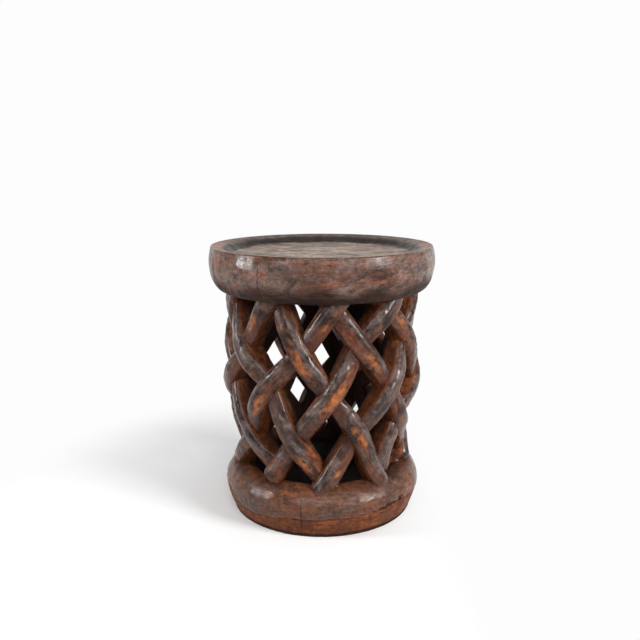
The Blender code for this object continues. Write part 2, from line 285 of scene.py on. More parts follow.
from_slope_foot = (radius - SLOPE_FOOT_RADIUS - SLOPE_FOOT_WAVER * cuts) / SLOPE_FOOT_BREADTH
from_crest_line = (radius - CREST_LINE_RADIUS + CREST_LINE_WAVER * cuts) / CREST_LINE_BREADTH
add_mask(seat, "dish", rise(radius, *TOP_EDGE) * top_face)
add_mask(seat, "rim", rise(radius, *SLOPE_EDGE) * top_face)
add_mask(seat, "rim_foot", np.exp(-from_slope_foot ** 2) * top_face)
add_mask(seat, "worn_land_and_sheen", rise(radius + LAND_WAVER * cuts, *LAND_EDGE) * top_face * (1 - 0.8 * far_side))
add_mask(seat, "rim_line", np.exp(-from_crest_line ** 2) * top_face)
add_mask(seat, "slate", worn_share(angle, height, radius, SEAT_SLATE))
add_mask(seat, "low", rise(height + SHADED_CURVE_WAVER * lumps, *SHADED_CURVE_EDGE))
add_mask(seat, "worn", worn_share(angle, height, radius, SEAT_WORN))
add_mask(seat, "crack", np.clip(seat_crack * on_side / CRACK_FULL_DEPTH, 0.0, 1.0))


def new_group(name, inputs, outputs):
    """A shader node group with named number and colour sockets: (name, kind, starting value)."""
    group = bpy.data.node_groups.new(name, "ShaderNodeTree")
    kinds = {"number": "NodeSocketFloat", "colour": "NodeSocketColor", "vector": "NodeSocketVector"}
    for label, kind, value in inputs:
        socket = group.interface.new_socket(label, in_out="INPUT", socket_type=kinds[kind])
        if value is not None:
            socket.default_value = value
    for label, kind in outputs:
        group.interface.new_socket(label, in_out="OUTPUT", socket_type=kinds[kind])
    return group, group.nodes.new("NodeGroupInput"), group.nodes.new("NodeGroupOutput")


def add_node(tree, kind, inputs=(), **settings):
    """A node with its settings and with values or links for its inputs, by name or number."""
    node = tree.nodes.new(kind)
    for key, value in settings.items():
        setattr(node, key, value)
    for key, value in dict(inputs).items():
        if isinstance(value, bpy.types.NodeSocket):
            tree.links.new(value, node.inputs[key])
        else:
            node.inputs[key].default_value = value
    return node


def add_noise(tree, place, scale, detail=4.0, roughness=0.55, distortion=0.0):
    """Cloudy noise round 0.5; a larger scale makes smaller clouds."""
    return add_node(tree, "ShaderNodeTexNoise",
                    {"Vector": place, "Scale": scale, "Detail": detail, "Roughness": roughness,
                     "Distortion": distortion}).outputs["Fac"]


def add_range(tree, value, low, high, to_low=0.0, to_high=1.0):
    """Smooth step of a number from one range to another."""
    return add_node(tree, "ShaderNodeMapRange", {0: value, 1: low, 2: high, 3: to_low, 4: to_high},
                    interpolation_type="SMOOTHSTEP").outputs[0]


def add_math(tree, operation, first, second):
    """Two numbers joined by one operation."""
    return add_node(tree, "ShaderNodeMath", {0: first, 1: second}, operation=operation).outputs[0]


def add_mix(tree, share, first, second):
    """The first colour where the share is 0 and the second where it is 1."""
    return add_node(tree, "ShaderNodeMix", {0: share, 6: first, 7: second}, data_type="RGBA").outputs[2]


def add_stretch(tree, place, factors):
    """Place with each direction scaled, so that a pattern draws out along the small factors."""
    return add_node(tree, "ShaderNodeVectorMath", {0: place, 1: factors}, operation="MULTIPLY").outputs[0]


def add_shift(tree, place, shift):
    """Place moved by a shift, so that a pattern read there is another part of it."""
    return add_node(tree, "ShaderNodeVectorMath", {0: place, 1: shift}, operation="ADD").outputs[0]


def colour(red, green, blue):
    """A colour in the usual 0 to 255 screen values as the linear one that the shader takes."""
    share = np.array([red, green, blue]) / 255
    linear = np.where(share <= 0.04045, share / 12.92, ((share + 0.055) / 1.055) ** 2.4)
    return (*linear.tolist(), 1.0)


def make_patina():
    """Handled old wood: brown with grey bloom, reddish and black patches, and fine specks."""
    tree, given, result = new_group(
        "handled_patina",
        [("Place", "vector", None), ("Brown", "colour", colour(112, 76, 60)),
         ("Bloom", "colour", colour(112, 92, 87)), ("Red", "colour", colour(140, 80, 54)),
         ("Soot", "colour", colour(46, 32, 26)), ("Bloom share", "number", 0.5),
         ("Red share", "number", 0.4), ("Soot share", "number", 0.4)],
        [("Colour", "colour"), ("Speck", "number")])
    place = given.outputs["Place"]
    elsewhere = add_shift(tree, place, (3.1, 1.7, 5.3))
    wide = add_noise(tree, place, 20.0, 6.0, 0.66, 0.8)
    middle = add_noise(tree, elsewhere, 34.0, 5.0, 0.60, 0.6)
    sooty = add_noise(tree, elsewhere, 26.0, 6.0, 0.64, 0.9)
    fine = add_noise(tree, place, 170.0, 6.0, 0.72)
    pores = add_noise(tree, elsewhere, 330.0, 3.0, 0.6)
    bloom = add_math(tree, "MULTIPLY", add_range(tree, wide, 0.44, 0.58), given.outputs["Bloom share"])
    red = add_math(tree, "MULTIPLY", add_range(tree, middle, 0.48, 0.60), given.outputs["Red share"])
    soot = add_math(tree, "MULTIPLY", add_range(tree, sooty, 0.50, 0.61), given.outputs["Soot share"])
    skin = add_mix(tree, bloom, given.outputs["Brown"], given.outputs["Bloom"])
    skin = add_mix(tree, red, skin, given.outputs["Red"])
    skin = add_mix(tree, soot, skin, given.outputs["Soot"])
    speck = add_math(tree, "MULTIPLY", add_range(tree, fine, 0.38, 0.62, 0.68, 1.32),
                     add_range(tree, pores, 0.34, 0.44, 0.62, 1.0))
    tree.links.new(skin, result.inputs["Colour"])
    tree.links.new(speck, result.inputs["Speck"])
    return tree


def make_grain():
    """Long fine streaks of the wood: noise drawn out along one direction, as a tone and a height."""
    tree, given, result = new_group(
        "long_grain", [("Place", "vector", None), ("Squeeze", "vector", (1.0, 1.0, 0.12))],
        [("Tone", "number"), ("Height", "number")])
    drawn = add_stretch(tree, given.outputs["Place"], given.outputs["Squeeze"])
    streak = add_noise(tree, drawn, 260.0, 3.0, 0.6, 0.2)
    broad = add_noise(tree, drawn, 90.0, 3.0, 0.5, 0.5)
    both = add_math(tree, "ADD", add_math(tree, "MULTIPLY", streak, 0.6),
                    add_math(tree, "MULTIPLY", broad, 0.4))
    tree.links.new(add_range(tree, both, 0.38, 0.60), result.inputs["Tone"])
    tree.links.new(both, result.inputs["Height"])
    return tree


def make_rubbed():
    """Skin rubbed through to orange wood: a soft ragged edge, and a net of bare wood round dark rings."""
    tree, given, result = new_group(
        "rubbed_through",
        [("Place", "vector", None), ("Worn", "number", 0.0), ("Bare", "colour", colour(172, 102, 60)),
         ("Left", "colour", colour(88, 47, 28))],
        [("Share", "number"), ("Colour", "colour")])
    place = given.outputs["Place"]
    off_middle = add_math(tree, "SUBTRACT", add_noise(tree, place, 75.0, 5.0, 0.66, 0.6), 0.5)
    ragged = add_math(tree, "MULTIPLY", off_middle, 1.3)
    share = add_range(tree, add_math(tree, "ADD", given.outputs["Worn"], ragged), 0.20, 0.80)
    wander = add_node(tree, "ShaderNodeTexNoise", {"Vector": place, "Scale": 120.0, "Detail": 2.0})
    shift = add_node(tree, "ShaderNodeVectorMath", {0: wander.outputs["Color"], "Scale": 0.010},
                     operation="SCALE").outputs[0]
    shifted = add_shift(tree, place, shift)
    rings = add_node(tree, "ShaderNodeTexVoronoi", {"Vector": shifted, "Scale": 105.0})
    mottle = add_range(tree, rings.outputs["Distance"], 0.12, 0.52, 1.0, 0.0)
    net = add_mix(tree, mottle, given.outputs["Bare"], given.outputs["Left"])
    tree.links.new(share, result.inputs["Share"])
    tree.links.new(net, result.inputs["Colour"])
    return tree


patina = make_patina()
grain = make_grain()
rubbed = make_rubbed()


WOOD_SHEEN = 0.25


def new_wood(name):
    """An empty wood material with its shader, its tree and the place on the object."""
    material = bpy.data.materials.new(name)
    material.use_nodes = True
    tree = material.node_tree
    shader = tree.nodes["Principled BSDF"]
    shader.inputs["Specular IOR Level"].default_value = WOOD_SHEEN
    place = tree.nodes.new("ShaderNodeTexCoord").outputs["Object"]
    return material, tree, shader, place


def use_group(tree, group, inputs):
    """The outputs of a shared group placed in a tree with values or links for its inputs."""
    node = tree.nodes.new("ShaderNodeGroup")
    node.node_tree = group
    for key, value in inputs.items():
        if isinstance(value, bpy.types.NodeSocket):
            tree.links.new(value, node.inputs[key])
        else:
            node.inputs[key].default_value = value
    return node.outputs


def read_mask(tree, name, strength=None):
    """A number kept on the vertices, weakened by a strength if one is given."""
    mask = add_node(tree, "ShaderNodeAttribute", attribute_name=name).outputs["Fac"]
    return mask if strength is None else add_math(tree, "MULTIPLY", mask, strength)


def finish_wood(tree, shader, tone, speck, roughness, height, distance, strength):
    """Joins a wood's tone, specks, roughness and relief to its shader."""
    specked = add_node(tree, "ShaderNodeVectorMath", {0: tone, "Scale": speck}, operation="SCALE")
    tree.links.new(specked.outputs[0], shader.inputs["Base Color"])
    tree.links.new(roughness, shader.inputs["Roughness"])
    bump = add_node(tree, "ShaderNodeBump", {"Strength": strength, "Distance": distance, "Height": height})
    tree.links.new(bump.outputs["Normal"], shader.inputs["Normal"])


seat_wood, tree, shader, place = new_wood("polished_seat_wood")
skin = use_group(tree, patina, {
    "Place": add_stretch(tree, place, (0.7, 0.7, 1.2)), "Brown": colour(106, 71, 56),
    "Bloom": colour(130, 109, 101), "Red": colour(132, 78, 56),
    "Bloom share": 0.85, "Red share": 0.20, "Soot share": 0.75})
fibres = use_group(tree, grain, {"Place": place, "Squeeze": (0.16, 0.16, 1.3)})
worn = use_group(tree, rubbed, {"Place": place, "Worn": read_mask(tree, "worn")})
tone = add_mix(tree, add_math(tree, "MULTIPLY", fibres["Tone"], 0.35), skin["Colour"], colour(58, 40, 32))
tone = add_mix(tree, read_mask(tree, "slate", 0.80), tone, colour(74, 64, 65))
tone = add_mix(tree, add_math(tree, "MULTIPLY", worn["Share"], 0.62), tone, colour(150, 84, 60))
# Painted shade: the lower curve that faces the floor is darkened, streaked along the grain
painted_shade_streaks = add_mix(tree, fibres["Tone"], colour(60, 31, 16), colour(20, 10, 6))
tone = add_mix(tree, read_mask(tree, "low", 0.95), tone, painted_shade_streaks)
# The dish: streaks of dull brown that run from side to side, inside a dark slope and a worn land
# that painted sheen lightens at the sides and front
long_streaks = use_group(tree, grain, {"Place": place, "Squeeze": (0.10, 0.8, 0.8)})
drawn_sideways = add_stretch(tree, place, (0.50, 1.3, 1.0))
dull_clouds = add_range(tree, add_noise(tree, drawn_sideways, 40.0, 6.0, 0.68, 0.4), 0.40, 0.60)
dull = add_mix(tree, dull_clouds, colour(102, 79, 63), colour(174, 151, 132))
dull = add_mix(tree, add_math(tree, "MULTIPLY", long_streaks["Tone"], 0.50), dull, colour(77, 55, 42))
rim_clouds = add_range(tree, add_noise(tree, place, 38.0, 6.0, 0.66), 0.40, 0.60)
rim_wood = add_mix(tree, rim_clouds, colour(38, 25, 19), colour(22, 14, 11))
# Painted sheen: the land is lighter at the sides and front and stays dark on the far side
rim_wood = add_mix(tree, read_mask(tree, "worn_land_and_sheen", 0.90), rim_wood, colour(146, 108, 84))
dull = add_mix(tree, read_mask(tree, "rim"), dull, rim_wood)
dull = add_mix(tree, read_mask(tree, "rim_foot", 0.70), dull, colour(58, 34, 26))
tone = add_mix(tree, read_mask(tree, "dish"), tone, dull)
tone = add_mix(tree, read_mask(tree, "rim_line", 0.60), tone, colour(62, 35, 26))
# Painted shade inside the drying cracks
tone = add_mix(tree, read_mask(tree, "crack"), tone, colour(16, 11, 9))
# The side is polished, and the dish, the worn places and the lower curve with its painted shade are duller
roughness = add_range(tree, read_mask(tree, "dish"), 0.0, 1.0, 0.25, 0.42)
handled = add_range(tree, add_noise(tree, place, 75.0, 4.0), 0.38, 0.60, -0.08, 0.08)
roughness = add_math(tree, "ADD", roughness, handled)
roughness = add_math(tree, "ADD", roughness, add_math(tree, "MULTIPLY", worn["Share"], 0.10))
roughness = add_math(tree, "ADD", roughness, read_mask(tree, "low", 0.45))
relief = add_math(tree, "ADD", fibres["Height"], add_noise(tree, place, 60.0, 5.0))
finish_wood(tree, shader, tone, skin["Speck"], roughness, relief, distance=0.0012, strength=0.34)
seat.data.materials.append(seat_wood)
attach(seat, "root")
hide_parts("seat")


# Base
# The foot of the log: a thick round swelling with a polished shoulder, a rougher band of bare
# wood below it where the stool meets the ground, and a hollow inside the strands. The wood
# between the feet of the strands is bare, and a drying crack runs down the front.
BASE_OUTLINE = (
    (0.0, 0.0300), (0.060, 0.0300), (0.0880, 0.0310), (0.0955, 0.0420), (0.1005, 0.0590),
    (0.1080, 0.0665), (0.1180, 0.0705), (0.1255, 0.0707), (0.1330, 0.0690), (0.1400, 0.0640),
    (0.1456, 0.0565), (0.1490, 0.0480), (0.1498, 0.0400), (0.1485, 0.0310), (0.1467, 0.0245),
    (0.1446, 0.0180), (0.1418, 0.0100), (0.1393, 0.0040), (0.1376, 0.0010), (0.1350, 0.0),
    (0.1280, 0.0), (0.060, 0.0), (0.0, 0.0),
)
BASE_ROWS = 190
BASE_COLUMNS = 420
# Drying cracks and, further down, rubbed places, in the same terms as the seat's
BASE_CRACKS = ((-11.6, 0.0640, 0.0010, 0.00050, 0.0026), (17.0, 0.0480, 0.0300, 0.00022, 0.0006),
               (96.0, 0.0600, 0.0050, 0.00045, 0.0016), (-140.0, 0.0500, 0.0040, 0.00040, 0.0015))
# Upper edge of the bare band round the base: angle in degrees and height
BAND_EDGE = ((-180, 0.031), (-100, 0.033), (-75, 0.041), (-66, 0.040), (-59, 0.031), (-52, 0.0255),
             (-43, 0.0235), (-30, 0.0270), (-17, 0.0305), (4, 0.0310), (20, 0.0340), (36, 0.0365),
             (52, 0.0395), (75, 0.036), (120, 0.030), (180, 0.031))
# Chips broken out along that edge: angle in degrees, height, half width, half height, strength
BASE_CHIPS = ((38.5, 0.0366, 0.010, 0.0044, 1.3), (44.5, 0.0372, 0.005, 0.0030, 1.2),
              (51.0, 0.0394, 0.006, 0.0042, 1.3), (31.5, 0.0350, 0.008, 0.0024, 1.0),
              (-14.5, 0.0300, 0.006, 0.0022, 0.7), (-24.0, 0.0270, 0.004, 0.0020, 0.5),
              (5.0, 0.0300, 0.010, 0.0014, 0.5), (108.0, 0.0320, 0.010, 0.0030, 0.9),
              (172.0, 0.0310, 0.009, 0.0030, 0.9), (-122.0, 0.0320, 0.008, 0.0028, 0.8))
BASE_WORN = ((-23.0, 0.0470, 0.006, 0.008, 0.5), (-55.0, 0.0560, 0.006, 0.006, 0.6),
             (-13.0, 0.0345, 0.006, 0.003, 0.7), (-20.0, 0.0640, 0.020, 0.003, 0.7),
             (60.0, 0.0460, 0.012, 0.006, 0.5), (140.0, 0.0480, 0.020, 0.007, 0.8),
             (-160.0, 0.0520, 0.020, 0.006, 0.7), (-95.0, 0.0500, 0.016, 0.007, 0.7),
             (97.0, 0.0400, 0.016, 0.005, 0.6))
# Where the carver's marks of the flank fade out, over what breadth, and where its band starts
FLANK_START_RADIUS = 0.120
FLANK_BLEND = 0.012
UNDERSIDE_BLEND = 0.004
BAND_START_RADIUS = 0.13
# Depths of the slow swells, the facets and the short marks of the tools on the flank
FLANK_SWELLS = 0.0006
FLANK_FACETS = 0.0003
FLANK_MARKS = 0.0002
# The bare band lies a little deeper, below a ragged edge with a groove under it
BAND_DEPTH = 0.00035
BAND_MARKS = 0.00022
EDGE_WAVER = 0.0010
EDGE_RAGGEDNESS = 0.0007
GROOVE_DEPTH = 0.0006
CHIP_DEPTH = 0.0020
# Distance below the band's edge of its groove, of its dark line of painted shade and of the light lip
# with its painted highlight, and how far each reaches up and down
GROOVE_PLACE = 0.0008
SHADE_LINE_PLACE = 0.0006
LIP_HIGHLIGHT_PLACE = -0.0010
EDGE_REACH = 0.0009
# Distances below the edge over which the band sinks in, and over which its bare wood starts
BAND_SINKS = (-0.0004, 0.0014)
BARE_STARTS = (-0.0006, 0.0010)
# Heights between which the painted contact shadow along the ground fades out
CONTACT_SHADOW_EDGE = (0.0085, 0.0034)
# Radii between which polish goes over into the crown's bare wood, and that into the hollow's painted shade
CROWN_WOOD_EDGE = (0.1430, 0.1320)
CROWN_WOOD_WAVER = 0.0015
HOLLOW_SHADE_EDGE = (0.1120, 0.1020)
HOLLOW_LOWEST = 0.02
# The crown that the strands stand on, with nine low humps round it
CROWN_RADIUS = 0.119
CROWN_HALF_BREADTH = 0.016
CROWN_LOWEST = 0.05
CROWN_HUMPS = 9
CROWN_HUMP_ANGLE = 20.0
CROWN_HUMP_HEIGHT = 0.0030
CROWN_SINK = 0.0008
CROWN_MARKS = 0.0005
# Two higher humps on the crown's far side: angle and half width in degrees, share of the height
FAR_HUMPS = ((176.5, 9.0, 1.0), (-140.0, 8.0, 1.3))
FAR_HUMP_HEIGHT = 0.0080
HOLLOW_FLOOR = (0.0, 0.0, 0.0300)
UNDERSIDE = (0.0, 0.0, 0.0)

line = smooth_line(BASE_OUTLINE, BASE_ROWS)[1:-1]
angle = angles_round(BASE_COLUMNS, BASE_CRACKS)[None, :] + 0 * line[:, :1]
radius, height = line[:, :1] + 0 * angle, line[:, 1:] + 0 * angle
spot = round_axis(radius, angle, height)
outside = (np.clip((radius - FLANK_START_RADIUS) / FLANK_BLEND, 0.0, 1.0)
           * np.clip(height / UNDERSIDE_BLEND, 0.0, 1.0))
on_crown = height > CROWN_LOWEST
crown = np.clip(1 - np.abs(radius - CROWN_RADIUS) / CROWN_HALF_BREADTH, 0.0, 1.0) * on_crown
lumps = unevenness(spot, wavelength=0.050, seed=13)
cuts = unevenness(spot, wavelength=0.014, seed=14)
chips = unevenness(spot, wavelength=0.007, seed=15)
flat_spot = spot * (1, 1, 0)
edge_angles, edge_heights = np.array(BAND_EDGE).T
band_edge = (np.interp(angle, np.radians(edge_angles), edge_heights)
             + EDGE_WAVER * unevenness(flat_spot, wavelength=0.030, seed=16)
             + EDGE_RAGGEDNESS * unevenness(flat_spot, wavelength=0.009, seed=17))
below_edge = band_edge - height
low_band = rise(below_edge, *BAND_SINKS) * outside
base_crack = crack_depth(angle, height, BASE_CRACKS, seed=18)
chipped = worn_share(angle, height, radius, BASE_CHIPS) * np.clip(0.8 + 1.3 * chips, 0.0, 1.0)
facets = unevenness(spot * (1, 1, 0.4), wavelength=0.023, seed=12)
out = (radius - outside * (FLANK_SWELLS * (1 + lumps / 2) + FLANK_FACETS * (1 + facets)
                           + FLANK_MARKS * (1 + cuts))
       - low_band * (BAND_DEPTH + BAND_MARKS * (1 + chips)) - CHIP_DEPTH * chipped * outside
       - base_crack * outside
       - GROOVE_DEPTH * outside * np.exp(-((below_edge - GROOVE_PLACE) / EDGE_REACH) ** 2))
wave = 0.5 + 0.5 * np.cos(CROWN_HUMPS * (angle - math.radians(CROWN_HUMP_ANGLE)))
far_hump = sum(strength * np.exp(-(apart(angle, degrees) / math.radians(half_width)) ** 2)
               for degrees, half_width, strength in FAR_HUMPS)
up = height + crown * (CROWN_HUMP_HEIGHT * wave - CROWN_SINK + CROWN_MARKS * cuts
                       + FAR_HUMP_HEIGHT * far_hump)
up = np.maximum(up, 0.0)
base = add_surface("swollen_base", round_axis(out, angle, up), (HOLLOW_FLOOR, UNDERSIDE))
flank_zone = radius > BAND_START_RADIUS
add_mask(base, "band", rise(below_edge, *BARE_STARTS) * flank_zone)
add_mask(base, "band_shade_line", np.exp(-((below_edge - SHADE_LINE_PLACE) / EDGE_REACH) ** 2) * flank_zone
         * np.clip(0.75 + 0.5 * unevenness(flat_spot, wavelength=0.020, seed=19), 0.0, 1.0))
add_mask(base, "band_lip_highlight", np.exp(-((below_edge - LIP_HIGHLIGHT_PLACE) / EDGE_REACH) ** 2) * flank_zone)
add_mask(base, "chipped", rise(chipped, 0.12, 0.65) * flank_zone)
add_mask(base, "painted_contact_shadow", rise(height, *CONTACT_SHADOW_EDGE))
add_mask(base, "inside", rise(radius + CROWN_WOOD_WAVER * cuts, *CROWN_WOOD_EDGE) * on_crown)
add_mask(base, "hollow_shade", rise(radius, *HOLLOW_SHADE_EDGE) * (height > HOLLOW_LOWEST))
add_mask(base, "worn", worn_share(angle, height, radius, BASE_WORN))
add_mask(base, "crack", np.clip(base_crack * outside / CRACK_FULL_DEPTH, 0.0, 1.0))

base_wood, tree, shader, place = new_wood("base_wood_with_bare_band")
skin = use_group(tree, patina, {
    "Place": add_stretch(tree, place, (0.8, 0.8, 1.3)), "Brown": colour(112, 72, 52),
    "Bloom": colour(99, 78, 71), "Red": colour(124, 71, 48),
    "Bloom share": 0.70, "Red share": 0.35, "Soot share": 0.40})
fibres = use_group(tree, grain, {"Place": place, "Squeeze": (0.15, 0.15, 1.2)})
worn = use_group(tree, rubbed, {"Place": place, "Worn": read_mask(tree, "worn")})
# Bare wood in the band and, darker, on the crown between the strands' feet
bare_clouds = add_range(tree, add_noise(tree, place, 60.0, 6.0, 0.7, 0.5), 0.42, 0.60)
bare = add_mix(tree, bare_clouds, colour(138, 77, 44), colour(104, 58, 36))
bare = add_mix(tree, add_math(tree, "MULTIPLY", fibres["Tone"], 0.50), bare, colour(66, 34, 22))
crown_clouds = add_range(tree, add_noise(tree, place, 34.0, 4.0, 0.6), 0.40, 0.62)
crown_wood = add_mix(tree, crown_clouds, colour(102, 56, 30), colour(46, 25, 15))
crown_wood = add_mix(tree, add_math(tree, "MULTIPLY", fibres["Tone"], 0.25), crown_wood, colour(62, 35, 22))
tone = add_mix(tree, add_math(tree, "MULTIPLY", fibres["Tone"], 0.25), skin["Colour"], colour(58, 40, 32))
tone = add_mix(tree, add_math(tree, "MULTIPLY", worn["Share"], 0.45), tone, worn["Colour"])
tone = add_mix(tree, read_mask(tree, "inside", 0.9), tone, crown_wood)
# A light orange lip along the ledge: bare wood with a painted highlight
tone = add_mix(tree, read_mask(tree, "band_lip_highlight", 0.55), tone, colour(160, 94, 62))
tone = add_mix(tree, read_mask(tree, "band"), tone, bare)
# Painted shade in the groove under the ledge
tone = add_mix(tree, read_mask(tree, "band_shade_line", 0.95), tone, colour(44, 24, 17))
# Painted shade in the chips, which face downwards
tone = add_mix(tree, read_mask(tree, "chipped", 0.92), tone, colour(52, 25, 17))
# Painted contact shadow along the ground
tone = add_mix(tree, read_mask(tree, "painted_contact_shadow", 0.85), tone, colour(17, 11, 9))
# Painted shade: the hollow inside is dark
tone = add_mix(tree, read_mask(tree, "hollow_shade"), tone, colour(22, 13, 9))
# Painted shade inside the drying cracks
tone = add_mix(tree, read_mask(tree, "crack"), tone, colour(16, 11, 9))
# The shoulder is polished, and the band, the crown, the hollow, the chips and the foot are rough
rough_places = add_math(tree, "MAXIMUM", read_mask(tree, "band"), read_mask(tree, "inside"))
roughness = add_range(tree, rough_places, 0.0, 1.0, 0.29, 0.66)
roughness = add_math(tree, "ADD", roughness, read_mask(tree, "hollow_shade", 0.40))
roughness = add_math(tree, "ADD", roughness, read_mask(tree, "chipped", 0.50))
roughness = add_math(tree, "ADD", roughness, read_mask(tree, "painted_contact_shadow", 0.30))
handled = add_range(tree, add_noise(tree, place, 50.0, 4.0), 0.36, 0.64, -0.07, 0.09)
roughness = add_math(tree, "ADD", roughness, handled)
relief = add_math(tree, "ADD", fibres["Height"], add_noise(tree, place, 70.0, 5.0))
finish_wood(tree, shader, tone, skin["Speck"], roughness, relief, distance=0.0012, strength=0.36)
base.data.materials.append(base_wood)
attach(base, "root")
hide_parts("base")


# Strands
# Eighteen members carved out of the log's wall, nine that lean each way, which pass over and
# under each other like plaited cane. Each outer face rises to a blunt ridge near its upper edge,
# and its bare sides splay inwards. Hands have polished the faces and rubbed some places through.
STRANDS_EACH_WAY = 9
ROWS = 5
FIRST_ROW_HEIGHT = 0.328
ROW_SPACING = 0.060
START_ANGLE = math.radians(5.5)
PITCH = 2 * math.pi / STRANDS_EACH_WAY
# How far each crossing lies off its even place, row by row from the seat down: along the turn as
# shares of the pitch, and upwards as shares of the row spacing
TURN_SHARES = (
    (0.03, -0.02, 0.0, 0.04, 0.0, 0.0, 0.0, 0.0, 0.11),
    (-0.06, -0.04, 0.0, 0.05, 0.0, -0.16, 0.0, -0.02, 0.04),
    (-0.02, -0.02, 0.0, 0.0, 0.0, -0.09, 0.0, 0.0, 0.03),
    (-0.04, -0.18, 0.0, 0.05, 0.0, -0.19, 0.0, -0.04, -0.09),
    (-0.08, -0.13, 0.0, 0.0, 0.0, -0.19, 0.0, 0.0, 0.06),
)
RISE_SHARES = (
    (0.0, -0.08, 0.0, 0.0, 0.0, 0.0, 0.0, 0.0, 0.30),
    (0.10, 0.06, 0.0, 0.0, 0.0, -0.06, 0.0, -0.10, -0.05),
    (-0.05, 0.03, -0.15, -0.15, -0.20, -0.20, -0.15, 0.0, 0.08),
    (-0.07, 0.10, 0.0, 0.10, -0.15, -0.06, 0.0, -0.25, -0.24),
    (-0.20, -0.32, 0.0, 0.0, 0.0, 0.0, 0.0, 0.0, 0.0),
)
# Radius of the strands' outer faces under the seat, how far it swells, narrows and spreads again
# on the way down, and the heights between which it does
DRUM_TOP_RADIUS = 0.1440
DRUM_SWELL = 0.0065
DRUM_NARROWING = 0.0165
DRUM_SPREAD = 0.0035
DRUM_TOP = 0.335
BULGE_HEIGHT = 0.205
WAIST_HEIGHT = 0.100
DRUM_FOOT = 0.071
# A strand's breadth and depth, and how far its outer face sinks where it goes under
STRAND_WIDTH = 0.0285
STRAND_DEPTH = 0.036
STRAND_DIP = 0.0095
# Section from the middle of the inner face round the lower side, over the outer face and back, as
# shares of half the width, with the upper side positive, and of the depth
SECTION = (
    (0.0, 1.0), (-0.55, 1.0), (-0.92, 0.985), (-1.05, 0.90), (-1.06, 0.72), (-1.06, 0.54), (-1.05, 0.40),
    (-1.04, 0.30), (-1.0, 0.205), (-0.90, 0.130), (-0.70, 0.078), (-0.42, 0.040), (-0.10, 0.015),
    (0.18, 0.002), (0.36, 0.0), (0.48, 0.008), (0.62, 0.030), (0.78, 0.072), (0.91, 0.125),
    (1.0, 0.195), (1.04, 0.28), (1.05, 0.40), (1.06, 0.54), (1.06, 0.72), (1.05, 0.90),
    (0.92, 0.985), (0.55, 1.0), (0.0, 1.0),
)
SECTION_POINTS = 89
ROUTE_POINTS = 226
# The ridge along the outer face: its place across, half its breadth and its height
RIDGE_PLACE = 0.40
RIDGE_BREADTH = 0.20
RIDGE_HEIGHT = 0.0005
# Stations at which a strand starts and ends; the crossings lie at stations 0 to 4 from the seat
# down. Its direction is taken over half a step to each side.
HALF_STEP = 0.03
ROUTE_START = -0.42
ROUTE_END = 4.62
SHORT_ROUTE_END = 4.10
# The rounded nose of a foot: its first station, its length, how much narrower it gets and how far
# its face is drawn in at the tip
NOSE_START = 4.15
NOSE_LENGTH = 0.20
NOSE_NARROWING = 0.55
NOSE_DRAWN_IN = 0.012
# Heights at which the heads end in the seat and the feet in the base
STRAND_TOP = 0.3365
STRAND_BOTTOM = 0.050
# How much wider the upper strand is, how much its breadth swells along it, and how far it tilts
UPPER_WIDER = 0.05
BREADTH_SWELLS = 0.03
TILT = 0.04
# Depths of the slow swells and the short marks of the tools
STRAND_SWELLS = 0.0007
STRAND_MARKS = 0.00024
# Places rubbed back to bare wood: leans right, number, station, place across, half length in
# stations, half breadth across, strength
STRAND_WORN = (
    (False, 9, 1.15, -0.25, 0.42, 0.50, 0.85), (True, 2, 1.95, -0.30, 0.42, 0.50, 1.0),
    (True, 1, 2.28, -0.40, 0.24, 0.45, 0.9), (False, 1, 1.32, -0.20, 0.28, 0.50, 0.75),
    (False, 1, 0.42, -0.70, 0.20, 0.25, 0.6), (True, 1, 0.38, -0.40, 0.14, 0.30, 0.5),
    (False, 8, 3.45, -0.30, 0.30, 0.45, 0.9), (True, 3, 3.72, -0.25, 0.10, 0.35, 1.0),
    (False, 9, 2.95, -0.10, 0.36, 0.45, 0.85), (False, 8, 1.60, -0.50, 0.20, 0.40, 0.5),
)
WORN_PLACES_UNSEEN = 2
# Left-leaning strands that end inside the foot that crosses them, and the one pair of feet where
# the left-leaning strand lies on top and the other dies away behind it
SHORT_FEET = (6, 7)
FOOT_ON_TOP = (False, 9)
FOOT_COMES_UP = (3.5, 3.1)
FOOT_BEHIND = (True, 4)
# Places where the upper edge is pared off broadly: leans right, number, station, half length, depth
STRAND_PARED = ((False, 8, 3.62, 0.42, 0.0065), (False, 9, 0.30, 0.22, 0.0040),
                (True, 2, 3.85, 0.25, 0.0040))
# Shares of the depth, or depths of paring, over which the outer face goes over into the flank and
# the flank into the inner face, and the share at which the edge between the first two lies
OUTER_TO_FLANK = (0.17, 0.34)
FLANK_TO_OUTER = (0.30, 0.18)
FLANK_TO_INSIDE = (0.62, 1.0)
PARED_TO_FLANK = (0.0010, 0.0022)
EDGE_PLACE = 0.23
EDGE_BREADTH = 0.06


def drum_radius(height):
    """Radius of the strands' outer faces: a smooth step out, then one in, then a small one out."""
    return (DRUM_TOP_RADIUS + DRUM_SWELL * rise(height, DRUM_TOP, BULGE_HEIGHT)
            - DRUM_NARROWING * rise(height, BULGE_HEIGHT, WAIST_HEIGHT)
            + DRUM_SPREAD * rise(height, WAIST_HEIGHT, DRUM_FOOT))


def crossing(row, place):
    """Angle round the drum and height of one crossing; odd rows lie half a pitch along."""
    column = place % STRANDS_EACH_WAY
    position = place + (row % 2) / 2 + TURN_SHARES[row][column]
    height = FIRST_ROW_HEIGHT - ROW_SPACING * (row - RISE_SHARES[row][column])
    return START_ANGLE + PITCH * position, height


